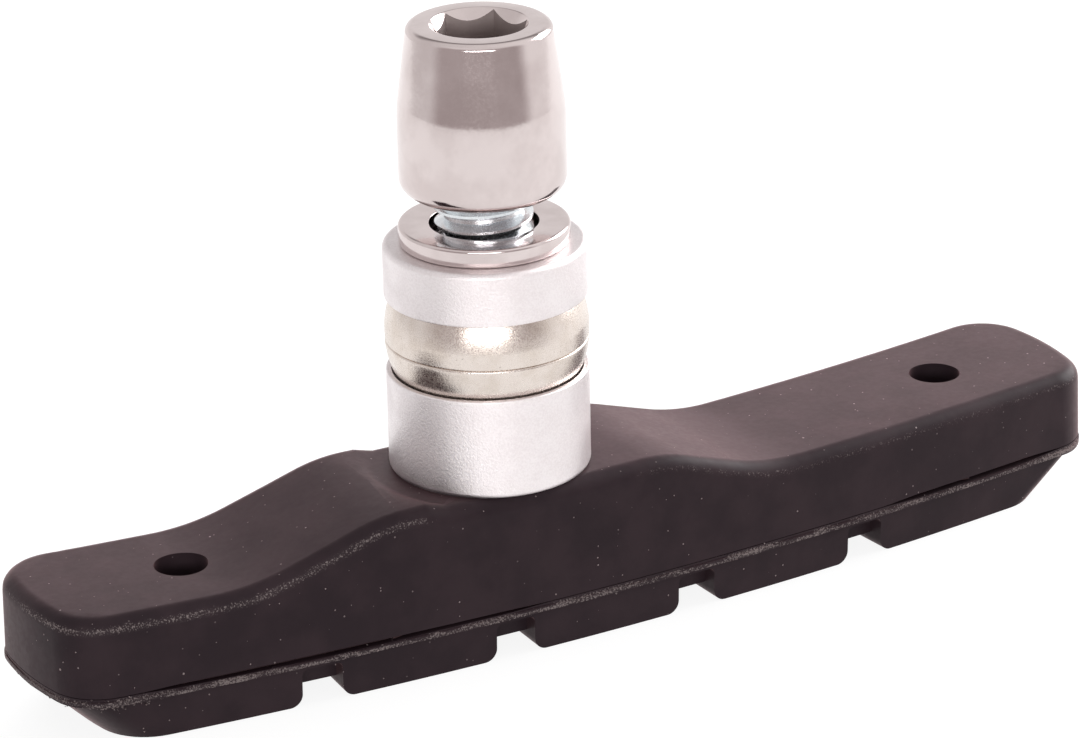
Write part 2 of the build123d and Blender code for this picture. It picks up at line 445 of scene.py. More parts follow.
PAINTED_CREASE_SHADE = MouldedRubber(
    "moulded_rubber_painted_crease_shade", deep=(0.011, 0.006, 0.0075), bloom=(0.016, 0.009, 0.011),
    sheen_weight=0.05, gloss=0.04)
BRIGHT_ZINC = PlatedSteel(
    "bright_zinc_plating", bright=(0.78, 0.81, 0.83), dull=(0.64, 0.67, 0.70), smooth=0.14, rough=0.30,
    grain_size=0.12, grain_depth=0.004)
YELLOW_ZINC = PlatedSteel(
    "yellow_zinc_plating", bright=(0.75, 0.675, 0.625), dull=(0.67, 0.59, 0.53), smooth=0.20, rough=0.36,
    grain_size=0.11, grain_depth=0.009, blotch_size=1.6, pit_share=0.03)
BRIGHT_NICKEL = PlatedSteel(
    "bright_nickel_plating", bright=(0.69, 0.61, 0.60), dull=(0.62, 0.54, 0.53), smooth=0.09, rough=0.15,
    grain_size=0.16, grain_depth=0.0006)
BROACHED_NICKEL = PlatedSteel(
    "broached_nickel", bright=(0.46, 0.39, 0.38), dull=(0.36, 0.30, 0.29), smooth=0.34, rough=0.52,
    grain_size=0.10, grain_depth=0.005, metallic=0.3)


@dataclass(frozen=True)
class Span:
    """Room that a turned node takes up about the stud axis, in millimetres."""

    radius: float
    bottom: float
    top: float

    @classmethod
    def of(cls, node: str) -> Span:
        """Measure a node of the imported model."""
        low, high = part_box(node)
        return cls(high.x / MM, low.z / MM, high.z / MM)


@dataclass(frozen=True)
class Corner:
    """Corner of a half section: distance from the axis, height, and the round it gets."""

    radius: float
    height: float
    rounding: float = 0.0

    def point(self) -> Vector:
        """Place of the corner in the plane that is spun, in metres."""
        return Vector((self.radius * MM, 0.0, self.height * MM))


@dataclass
class Turning:
    """A piece turned about the stud axis from a closed half section."""

    corners: list[Corner]
    steps: int = 192
    round_segments: int = 6

    def build(self) -> BMesh:
        """Spin the half section and round the edges that ask for it.

        Returns:
            The closed mesh.
        """
        mesh = bmesh.new()
        section = [mesh.verts.new(corner.point()) for corner in self.corners]
        sides = [mesh.edges.new(pair) for pair in zip(section, section[1:] + section[:1])]
        bmesh.ops.spin(mesh, geom=section + sides, axis=(0, 0, 1), cent=(0, 0, 0), angle=2 * math.pi,
                       steps=self.steps, use_merge=True)
        bmesh.ops.recalc_face_normals(mesh, faces=mesh.faces)
        for index, corner in enumerate(self.corners):
            if corner.rounding:
                self.round_edge(mesh, corner, self.run_out(index))
        return mesh

    def run_out(self, index: int) -> float:
        """Work out how far a corner's round runs.

        Args:
            index: which corner.

        Returns:
            Distance from the corner to the ends of its round, in metres.
        """
        here = self.corners[index].point()
        before = self.corners[index - 1].point() - here
        after = self.corners[(index + 1) % len(self.corners)].point() - here
        return self.corners[index].rounding * MM / math.tan(before.angle(after) / 2)

    def round_edge(self, mesh: BMesh, corner: Corner, run_out: float) -> None:
        """Bevel the ring that a corner leaves when it is spun."""
        edges = [edge for edge in mesh.edges if all(lies_on_ring(vert, corner) for vert in edge.verts)]
        bmesh.ops.bevel(mesh, geom=edges, offset=run_out, offset_type="OFFSET", affect="EDGES",
                        segments=self.round_segments, profile=0.5, material=-1, clamp_overlap=True)


def lies_on_ring(vert: BMVert, corner: Corner) -> bool:
    """Whether a vertex lies on the ring that a corner leaves when it is spun."""
    off_radius = abs(math.hypot(vert.co.x, vert.co.y) - corner.radius * MM)
    return off_radius < MERGE_DISTANCE and abs(vert.co.z - corner.height * MM) < MERGE_DISTANCE


def ball_corners(centre: float, radius: float, start: float, end: float, segments: int) -> list[Corner]:
    """Corners along a ball's section.

    Args:
        centre: height of the ball's centre.
        radius: radius of the ball.
        start: height of the first corner.
        end: height of the last corner.
        segments: stretches between them.

    Returns:
        The corners from start to end.
    """
    heights = [start + (end - start) * step / segments for step in range(segments + 1)]
    return [Corner(math.sqrt(radius**2 - (height - centre)**2), height) for height in heights]


def mesh_data(mesh: BMesh, name: str) -> bpy.types.Mesh:
    """Write a shape into a new mesh and free it.

    Args:
        mesh: the shape.
        name: name of the new mesh.

    Returns:
        The new mesh.
    """
    data = bpy.data.meshes.new(name)
    mesh.to_mesh(data)
    mesh.free()
    return data


def put_in_scene(thing: bpy.types.Object) -> bpy.types.Object:
    """Put a new object in the scene and hand it back."""
    bpy.context.scene.collection.objects.link(thing)
    return thing


def inward_at(vert: BMVert) -> Vector:
    """Level direction into the pad at a vertex of its wall."""
    return -Vector((vert.normal.x, vert.normal.y, 0)).normalized()


def finish_piece(mesh: BMesh, name: str, body: Body, node: str, *materials: Material,
                 sharp_angle: float = 35.0) -> bpy.types.Object:
    """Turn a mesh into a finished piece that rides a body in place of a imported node.

    Args:
        mesh: the finished shape, which is freed.
        name: name of the piece.
        body: body that it rides.
        node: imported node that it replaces.
        *materials: its finish, and any other that some of its faces already ask for.
        sharp_angle: edges that turn by more than this stay sharp, in degrees.

    Returns:
        The new object.
    """
    data = mesh_data(mesh, name)
    if "custom_normal" in data.attributes:
        data.attributes.remove(data.attributes["custom_normal"])
    for material in materials:
        data.materials.append(material)
    data.polygons.foreach_set("use_smooth", [True] * len(data.polygons))
    data.set_sharp_from_angle(angle=math.radians(sharp_angle))
    piece = put_in_scene(bpy.data.objects.new(name, data))
    weights = piece.modifiers.new("flat_faces_stay_flat", "WEIGHTED_NORMAL")
    weights.keep_sharp = True
    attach(piece, body.value)
    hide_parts(node)
    LOG.info("%s: %d faces, rides %s", name, len(data.polygons), body.value)
    return piece


@dataclass(frozen=True)
class FlashStretch:
    """Short straight stretch of the flash's outer edge, with the direction out of the pad there."""

    start: Vector
    end: Vector
    outward: Vector

    def length(self) -> float:
        """Length of the stretch, in metres."""
        return (self.end - self.start).length


@dataclass
class RubberPad:
    """Moulded shoe, with the crease above its parting line, darkened with painted shade, and the crumbly
    flash on it.

    Scales are those of noise on coordinates in metres.
    """

    node: str = "rubber_pad"
    parting_height: float = 2.75
    flash_half: float = 0.16
    flash_tear: float = 0.05
    flash_waver: float = 0.05
    tear_scale: float = 700
    flash_waver_scale: float = 500
    flash_waver_start: Place = (3, 1, 4)
    wear_stop: float = 1.6
    crease_height: float = 3.14
    crease_half: float = 0.2
    crease_depth: float = 0.3
    crease_shallow: float = 0.3
    crease_closed: float = 0.1
    crease_fade: float = 5.0
    crease_steady: float = 0.75
    crease_scale: float = 90
    crease_waver: float = 0.05
    crease_waver_scale: float = 160
    crease_stretches: tuple[Range, ...] = ((-28.5, 3.0), (23.0, 42.0))
    slice_pitch: float = 0.7
    crumb_count: int = 2400
    crumb_batch: int = 50
    crumb_size: Range = (0.035, 0.115)
    crumb_squash: Range = (0.55, 1.0)
    crumb_wear: Range = (0.30, 0.85)
    crumb_sink: float = 0.05
    crumb_scatter: float = 0.5
    crumb_spread: float = 0.13
    corner_spread: float = 0.34
    corner_drop: float = 0.15
    corner_crowding: float = 2.2
    rough_corner: Range = (-27.5, -4.0)
    rough_reach: float = 5.5
    flash_wear: float = 0.58
    flash_wear_change: float = 0.34
    flash_wear_scale: float = 420
    edge_lean: float = 0.38
    edge_lean_half: float = 0.23
    # paleness of the top edges: partly wear, partly painted highlight
    short_edge_wear_and_highlight: float = 0.50
    long_edge_wear_and_highlight: float = 0.20
    far_share: float = 0.5
    seat_reach: float = 9.0
    hole_middles: tuple[Range, ...] = ((-20.3, 1.41), (33.6, 1.45))
    hole_reach: float = 2.2
    seed: int = 11
    finish: MouldedRubber = field(default_factory=MouldedRubber)
    # darker rubber of the crease faces: painted shade
    crease_shade_finish: MouldedRubber = PAINTED_CREASE_SHADE

    def build(self, frame: dict[str, Any]) -> None:
        """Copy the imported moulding, work its parting line and dress it.

        Args:
            frame: the loaded frame.
        """
        mesh = bmesh.new()
        mesh.from_mesh(frame["nodes"][self.node].data)
        bmesh.ops.remove_doubles(mesh, verts=mesh.verts, dist=MERGE_DISTANCE)
        self.slice_parting_band(mesh)
        outline = self.parting_outline(mesh)
        self.press_crease(mesh)
        self.tear_flash(mesh)
        mesh.normal_update()
        wear = mesh.verts.layers.float.new(self.finish.wear_and_highlight_attribute)
        for vert in mesh.verts:
            vert[wear] = self.wear_and_edge_highlight_at(vert)
        self.scatter_crumbs(mesh, outline)
        finish_piece(mesh, "moulded_rubber_pad", Body.PAD, self.node, self.finish.material(),
                     self.crease_shade_finish.material(), sharp_angle=40.0)

    def slice_parting_band(self, mesh: BMesh) -> None:
        """Cut the wall level above and below the flash, and the band round the flash across, to work it.

        Args:
            mesh: the pad.
        """
        levels = [self.parting_height, self.parting_height - self.wear_stop * self.flash_half]
        levels += [self.crease_height + step * self.crease_half for step in (-1, 0, 1)]
        for level in levels:
            everything = [*mesh.verts, *mesh.edges, *mesh.faces]
            bmesh.ops.bisect_plane(mesh, geom=everything, dist=MERGE_DISTANCE,
                                   plane_co=(0, 0, level * MM), plane_no=(0, 0, 1))
        low = (self.parting_height - self.flash_half) * MM
        high = (self.crease_height + self.crease_half) * MM
        faces = [face for face in mesh.faces if low < face.calc_center_median().z < high]
        band = {part for face in faces for part in (face, *face.edges, *face.verts)}
        start, end = (corner.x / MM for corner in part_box(self.node))
        count = int((end - start) / self.slice_pitch)
        for step in range(1, count):
            x = start + (end - start) * step / count
            cut = bmesh.ops.bisect_plane(mesh, geom=list(band), dist=MERGE_DISTANCE,
                                         plane_co=(x * MM, 0, 0), plane_no=(1, 0, 0))
            band = set(cut["geom"])

    def parting_outline(self, mesh: BMesh) -> list[FlashStretch]:
        """Stretches of the flash's outer edge.

        Args:
            mesh: the sliced pad.

        Returns:
            The stretches, in no order.
        """
        mesh.normal_update()
        level = self.parting_height * MM
        stretches = []
        for edge in mesh.edges:
            first, last = edge.verts
            if all(abs(vert.co.z - level) < MERGE_DISTANCE for vert in edge.verts):
                outward = Vector((*(first.normal + last.normal).xy, 0)).normalized()
                stretches.append(FlashStretch(first.co.copy(), last.co.copy(), outward))
        return stretches

    def press_crease(self, mesh: BMesh) -> None:
        """Push the middle of the band above the flash in, more in some places than in others, and give the
        faces along it the darker rubber that paints shade into the crease.

        Args:
            mesh: the sliced pad.
        """
        mesh.normal_update()
        level = self.crease_height * MM
        for vert in [vert for vert in mesh.verts if abs(vert.co.z - level) < MERGE_DISTANCE]:
            vert.co += inward_at(vert) * self.crease_depth * MM * self.crease_share(vert.co)
            vert.co.z += self.crease_waver * MM * noise.noise(vert.co * self.crease_waver_scale)
            # the faces along the crease take the darker second material: painted shade
            for face in vert.link_faces:
                face.material_index = 1
        for vert in mesh.verts:
            if self.on_crease_edge(vert):
                open_share = (self.crease_share(vert.co) - self.crease_shallow) / (1 - self.crease_shallow)
                vert.co.z = level + (vert.co.z - level) * max(self.crease_closed, open_share)

    def on_crease_edge(self, vert: BMVert) -> bool:
        """Whether a vertex lies on the upper or the lower edge of the crease."""
        return abs(abs(vert.co.z - self.crease_height * MM) - self.crease_half * MM) < MERGE_DISTANCE

    def crease_share(self, point: Vector) -> float:
        """Work out how deep the crease is at a point.

        Args:
            point: a place on the wall, in metres.

        Returns:
            Share of the full depth, most along the crease's stretches and least between them.
        """
        x = point.x / MM
        inside = max(min(x - start, end - x) for start, end in self.crease_stretches)
        share = min(1.0, max(self.crease_shallow, inside / self.crease_fade))
        change = noise.noise(point * self.crease_scale)
        return share * (self.crease_steady + (1 - self.crease_steady) * change)

    def tear_flash(self, mesh: BMesh) -> None:
        """Make the outer edge of the flash ragged, inside its own outline.

        Args:
            mesh: the sliced pad.
        """
        mesh.normal_update()
        level = self.parting_height * MM
        ragged = [vert for vert in mesh.verts if abs(vert.co.z - level) < self.flash_half * MM]
        for vert in ragged:
            tear = 0.5 + 0.5 * noise.noise(vert.co * self.tear_scale)
            vert.co += inward_at(vert) * self.flash_tear * MM * tear
            spot = vert.co * self.flash_waver_scale + Vector(self.flash_waver_start)
            vert.co.z += self.flash_waver * MM * noise.noise(spot)

    def wear_and_edge_highlight_at(self, vert: BMVert) -> float:
        """Work out how far the flash is worn pale, and how pale the rounded top edges are painted, partly as
        wear and partly as a painted highlight.

        Args:
            vert: a vertex of the pad.

        Returns:
            Its wear, from 0 to 1.
        """
        if abs(vert.co.z - self.parting_height * MM) < self.flash_half * MM:
            return self.flash_wear + self.flash_wear_change * noise.noise(vert.co * self.flash_wear_scale)
        lean = (vert.normal.z - self.edge_lean) / self.edge_lean_half
        on_seat = vert.co.xy.length < self.seat_reach * MM
        from_holes = [(vert.co.xy / MM - Vector(middle)).length for middle in self.hole_middles]
        in_hole = min(from_holes) < self.hole_reach
        if vert.co.z < self.crease_height * MM or abs(lean) > 1 or on_seat or in_hole:
            return 0.0
        # the near side and the short arm get more of it: painted highlight as well as wear
        near = 1.0 if vert.normal.y < 0 else self.far_share
        return near * (1 - lean**2) * (self.short_edge_wear_and_highlight if vert.co.x < 0 else self.long_edge_wear_and_highlight)

    def roughness_near(self, point: Vector) -> float:
        """1 at the rough corner of the short end, falling to 0 away from it."""
        away = math.hypot(point.x / MM - self.rough_corner[0], point.y / MM - self.rough_corner[1])
        return max(0.0, 1 - away / self.rough_reach)

    def scatter_crumbs(self, mesh: BMesh, outline: list[FlashStretch]) -> None:
        """Set crumbs of torn rubber along the flash, inside its outline.

        Args:
            mesh: the pad, which gets the crumbs.
            outline: stretches of the flash's outer edge.
        """
        chance = random.Random(self.seed)
        weights = [stretch.length() * (1 + self.corner_crowding * self.roughness_near(stretch.start))
                   for stretch in outline]
        picked = chance.choices(outline, weights, k=self.crumb_count)
        for first in range(0, self.crumb_count, self.crumb_batch):
            batch = bmesh.new()
            wear = batch.verts.layers.float.new(self.finish.wear_and_highlight_attribute)
            for stretch in picked[first:first + self.crumb_batch]:
                self.add_crumb(batch, wear, stretch, chance)
            data = mesh_data(batch, "crumbs")
            mesh.from_mesh(data)
            bpy.data.meshes.remove(data)

    def add_crumb(self, batch: BMesh, wear: BMLayerItem, stretch: FlashStretch,
                  chance: random.Random) -> None:
        """Add one crumb.

        Args:
            batch: mesh that gets the crumb.
            wear: layer of the attribute of wear and painted highlight.
            stretch: part of the flash that the crumb sits on.
            chance: source of its size, place and turn.
        """
        size = chance.uniform(*self.crumb_size) * MM
        rough = self.roughness_near(stretch.start)
        spread = self.crumb_spread + (self.corner_spread - self.crumb_spread) * rough
        depth = size + chance.uniform(0, self.crumb_sink) * MM
        spot = stretch.start.lerp(stretch.end, chance.random()) - stretch.outward * depth
        spot.z += chance.gauss(-self.corner_drop * rough, self.crumb_scatter) * spread * MM
        turn = Euler([chance.uniform(0, math.tau) for _ in range(3)]).to_matrix().to_4x4()
        squash = Matrix.Diagonal([chance.uniform(*self.crumb_squash) for _ in range(3)]).to_4x4()
        crumb = bmesh.ops.create_icosphere(
            batch, subdivisions=1, radius=size, matrix=Matrix.Translation(spot) @ turn @ squash)
        shade = chance.uniform(*self.crumb_wear)
        for vert in crumb["verts"]:
            vert[wear] = shade


@dataclass
class ThreadedStud:
    """M6 stud with a rolled thread, its collar on the plate and its rivet head below."""

    node: str = "stud"
    crest_radius: float = 2.95
    thread_depth: float = 0.56
    pitch: float = 1.0
    crest_flat: float = 0.16
    root_flat: float = 0.22
    steps_per_turn: int = 64
    rivet_head_height: float = 1.0
    rivet_radius: float = 3.2
    plate_thickness: float = 2.0
    collar_radius: float = 4.5
    core_radius: float = 0.4
    thread_start: float = 11.0
    finish: PlatedSteel = BRIGHT_ZINC

    def build(self, seat_height: float) -> None:
        """Turn the foot, wind the thread onto it and dress the stud.

        Args:
            seat_height: height of the collar's top, level with the washers' seat.
        """
        span = Span.of(self.node)
        mesh = self.foot(span, seat_height)
        self.wind_thread(mesh, span.top)
        bmesh.ops.recalc_face_normals(mesh, faces=mesh.faces)
        finish_piece(mesh, "threaded_stud", Body.PAD, self.node, self.finish.material(), sharp_angle=30.0)

    def foot(self, span: Span, seat_height: float) -> BMesh:
        """Turn the rivet head, rivet, collar and plain start of the shank.

        Args:
            span: room that the stud takes up.
            seat_height: height of the collar's top.

        Returns:
            The turned mesh.
        """
        plate_bottom = span.bottom + self.rivet_head_height
        plate_top = plate_bottom + self.plate_thickness
        root = self.crest_radius - self.thread_depth
        return Turning([
            Corner(self.core_radius, span.bottom),
            Corner(self.collar_radius, span.bottom),
            Corner(self.collar_radius, plate_bottom),
            Corner(self.rivet_radius, plate_bottom),
            Corner(self.rivet_radius, plate_top),
            Corner(self.collar_radius, plate_top),
            Corner(self.collar_radius, seat_height),
            Corner(root, seat_height),
            Corner(root, self.thread_start + self.pitch),
            Corner(self.core_radius, self.thread_start + self.pitch),
        ], steps=96).build()

    def wind_thread(self, mesh: BMesh, top: float) -> None:
        """Wind one pitch of the thread's section up the shank and cut it level at both ends.

        Args:
            mesh: the foot, which gets the thread.
            top: height of the stud's end.
        """
        root = self.crest_radius - self.thread_depth
        flank = (self.pitch - self.crest_flat - self.root_flat) / 2
        heights = [0, flank, flank + self.crest_flat, self.pitch - self.root_flat, self.pitch]
        radii = [root, self.crest_radius, self.crest_radius, root, root]
        base = self.thread_start - self.pitch
        section = [mesh.verts.new((radius * MM, 0, (base + height) * MM))
                   for radius, height in zip(radii, heights)]
        sides = [mesh.edges.new(pair) for pair in zip(section, section[1:])]
        turns = math.ceil((top - base) / self.pitch)
        before = set(mesh.verts) - set(section)
        bmesh.ops.spin(mesh, geom=section + sides, axis=(0, 0, 1), cent=(0, 0, 0), angle=math.tau * turns,
                       dvec=(0, 0, self.pitch * MM / self.steps_per_turn), steps=turns * self.steps_per_turn)
        wound = [vert for vert in mesh.verts if vert not in before]
        bmesh.ops.remove_doubles(mesh, verts=wound, dist=MERGE_DISTANCE)
        for height, direction in ((top, 1), (self.thread_start, -1)):
            verts = [vert for vert in mesh.verts if vert not in before]
            parts = {part for vert in verts for part in (vert, *vert.link_edges, *vert.link_faces)}
            cut = bmesh.ops.bisect_plane(mesh, geom=list(parts), dist=MERGE_DISTANCE, clear_outer=True,
                                         plane_co=(0, 0, height * MM), plane_no=(0, 0, direction))
            rim = [part for part in cut["geom_cut"] if isinstance(part, BMEdge)]
            bmesh.ops.holes_fill(mesh, edges=rim)


@dataclass
class BallSeat:
    """Two cup washers and the two dome washers between them."""

    ball_radius: float = 6.15
    seat_clearance: float = 0.1
    cup_bore: float = 3.3
    cup_edge_round: float = 0.35
    cup_rim_round: float = 0.1
    cup_floor_share: float = 0.80
    dome_bore: float = 4.0
    dome_shoulder_round: float = 1.5
    dome_edge_round: float = 0.12
    ball_segments: int = 5
    cup_finish: BlastedAluminium = field(default_factory=BlastedAluminium)
    dome_finish: PlatedSteel = YELLOW_ZINC

    def build(self) -> None:
        """Turn and dress the four washers, from the pad up."""
        cups = {Facing.BELOW: "thick_cup_washer", Facing.ABOVE: "thin_cup_washer"}
        domes = {Facing.BELOW: "lower_dome_washer", Facing.ABOVE: "upper_dome_washer"}
        centre = (Span.of(cups[Facing.BELOW]).top + Span.of(cups[Facing.ABOVE]).bottom) / 2
        cup_material = self.cup_finish.material()
        dome_material = self.dome_finish.material()
        for facing, node in cups.items():
            mesh = self.cup(Span.of(node), centre, facing)
            finish_piece(mesh, f"{node}_turned", Body.PAD, node, cup_material)
        for facing, node in domes.items():
            mesh = self.dome(Span.of(node), centre, facing)
            finish_piece(mesh, f"{node}_turned", Body.DOMES, node, dome_material)

    def cup(self, span: Span, centre: float, facing: Facing) -> BMesh:
        """One cup washer, dished towards the ball.

        Args:
            span: room that the cup takes up.
            centre: height of the ball's centre.
            facing: side of the ball that the cup lies on.

        Returns:
            The turned mesh.
        """
        back, rim = (span.bottom, span.top) if facing is Facing.BELOW else (span.top, span.bottom)
        seat = self.ball_radius + self.seat_clearance
        floor = centre + facing.value * seat * self.cup_floor_share
        dish = ball_corners(centre, seat, rim, floor, self.ball_segments)
        return Turning([
            Corner(self.cup_bore, floor),
            Corner(self.cup_bore, back),
            Corner(span.radius, back, self.cup_edge_round),
            Corner(span.radius, rim, self.cup_rim_round),
            *dish,
        ]).build()

    def dome(self, span: Span, centre: float, facing: Facing) -> BMesh:
        """One dome washer: a straight edge that blends into the ball.

        Args:
            span: room that the dome takes up.
            centre: height of the ball's centre.
            facing: side of the ball centre that the dome lies on.

        Returns:
            The turned mesh.
        """
        split, end = (span.top, span.bottom) if facing is Facing.BELOW else (span.bottom, span.top)
        shoulder = centre + facing.value * math.sqrt(self.ball_radius**2 - span.radius**2)
        crown = ball_corners(centre, self.ball_radius, shoulder, end, self.ball_segments)
        return Turning([
            Corner(self.dome_bore, end),
            Corner(self.dome_bore, split),
            Corner(span.radius, split, self.dome_edge_round),
            Corner(span.radius, shoulder, self.dome_shoulder_round),
            *crown[1:],
        ]).build()


@dataclass
class FlatWasher:
    """Plain pressed washer with rounded outer edges."""

    node: str = "flat_washer"
    bore: float = 3.275
    edge_round: float = 0.2
    bore_round: float = 0.06
    finish: PlatedSteel = BRIGHT_NICKEL

    def build(self) -> None:
        """Turn and dress the washer."""
        span = Span.of(self.node)
        mesh = Turning([
            Corner(self.bore, span.bottom, self.bore_round),
            Corner(span.radius, span.bottom, self.edge_round),
            Corner(span.radius, span.top, self.edge_round),
            Corner(self.bore, span.top, self.bore_round),
        ]).build()
        finish_piece(mesh, "flat_washer_plated", Body.PAD, self.node, self.finish.material())


@dataclass
class BarrelNut:
    """Tapered round nut with a bevelled hexagon socket."""

    node: str = "barrel_nut"
    top_radius: float = 4.3
    straight_height: float = 5.2
    foot_round: float = 1.0
    taper_blend: float = 8.0
    top_round: float = 0.45
    bore: float = 3.0
    bore_round: float = 0.25
    thread_depth: float = 6.1
    tap_radius: float = 2.45
    turned_socket_radius: float = 2.65
    turned_lip_drop: float = 0.3
    socket_half_width: float = 2.5
    socket_depth: float = 3.6
    socket_mouth: float = 2.95
    lip_round: float = 0.1
    socket_bevel_angle: float = 34.0
    socket_turn: float = -17.4
    steepest_floor: float = 0.3
    finish: PlatedSteel = BRIGHT_NICKEL
    socket_finish: PlatedSteel = BROACHED_NICKEL

    def build(self) -> None:
        """Turn the nut, push its socket out to a hexagon and dress it."""
        span = Span.of(self.node)
        socket_floor = span.top - self.socket_depth
        thread_end = span.bottom + self.thread_depth
        lip = Corner(self.turned_socket_radius, span.top - self.turned_lip_drop)
        foot = Corner(self.turned_socket_radius, socket_floor)
        mesh = Turning([
            Corner(span.radius, span.bottom, self.foot_round),
            Corner(span.radius, span.bottom + self.straight_height, self.taper_blend),
            Corner(self.top_radius, span.top, self.top_round),
            Corner(self.socket_mouth, span.top, self.lip_round),
            lip,
            foot,
            Corner(self.tap_radius, socket_floor),
            Corner(self.tap_radius, thread_end),
            Corner(self.bore, thread_end),
            Corner(self.bore, span.bottom, self.bore_round),
        ]).build()
        for vert in mesh.verts:
            if lies_on_ring(vert, lip):
                wall = self.hexagon_radius(vert)
                drop = (self.socket_mouth - wall) / math.tan(math.radians(self.socket_bevel_angle))
                self.move_out(vert, wall, span.top - drop)
            elif lies_on_ring(vert, foot):
                self.move_out(vert, self.hexagon_radius(vert), socket_floor)
        mesh.normal_update()
        for face in mesh.faces:
            middle = face.calc_center_median()
            inside = middle.xy.length < self.socket_mouth * MM and middle.z > socket_floor * MM
            face.material_index = int(inside and abs(face.normal.z) < self.steepest_floor)
        turn = Matrix.Rotation(math.radians(self.socket_turn), 3, "Z")
        bmesh.ops.rotate(mesh, verts=mesh.verts, cent=(0, 0, 0), matrix=turn)
        bmesh.ops.recalc_face_normals(mesh, faces=mesh.faces)
        finish_piece(mesh, "barrel_nut_plated", Body.NUT, self.node, self.finish.material(),
                     self.socket_finish.material(), sharp_angle=28.0)

    def hexagon_radius(self, vert: BMVert) -> float:
        """Work out where the hexagon's wall is.

        Args:
            vert: a vertex of the turned socket.

        Returns:
            Distance from the axis to the wall in the vertex's direction, in millimetres.
        """
        sixth = math.tau / 6
        off_flat = math.atan2(vert.co.y, vert.co.x) % sixth - sixth / 2
        return self.socket_half_width / math.cos(off_flat)

    def move_out(self, vert: BMVert, radius: float, height: float) -> None:
        """Move a vertex along its own direction to a radius, and to a height."""
        out = vert.co.xy.normalized() * radius * MM
        vert.co = (out.x, out.y, height * MM)


@dataclass(frozen=True)
class Lamp:
    """Softbox that faces the object: its middle, width and height in millimetres, and its power in watts.

    Bright metal shows its reflection if it is mirrored.
    """

    name: str
    place: Place
    size: Range
    power: float
    mirrored: bool = True


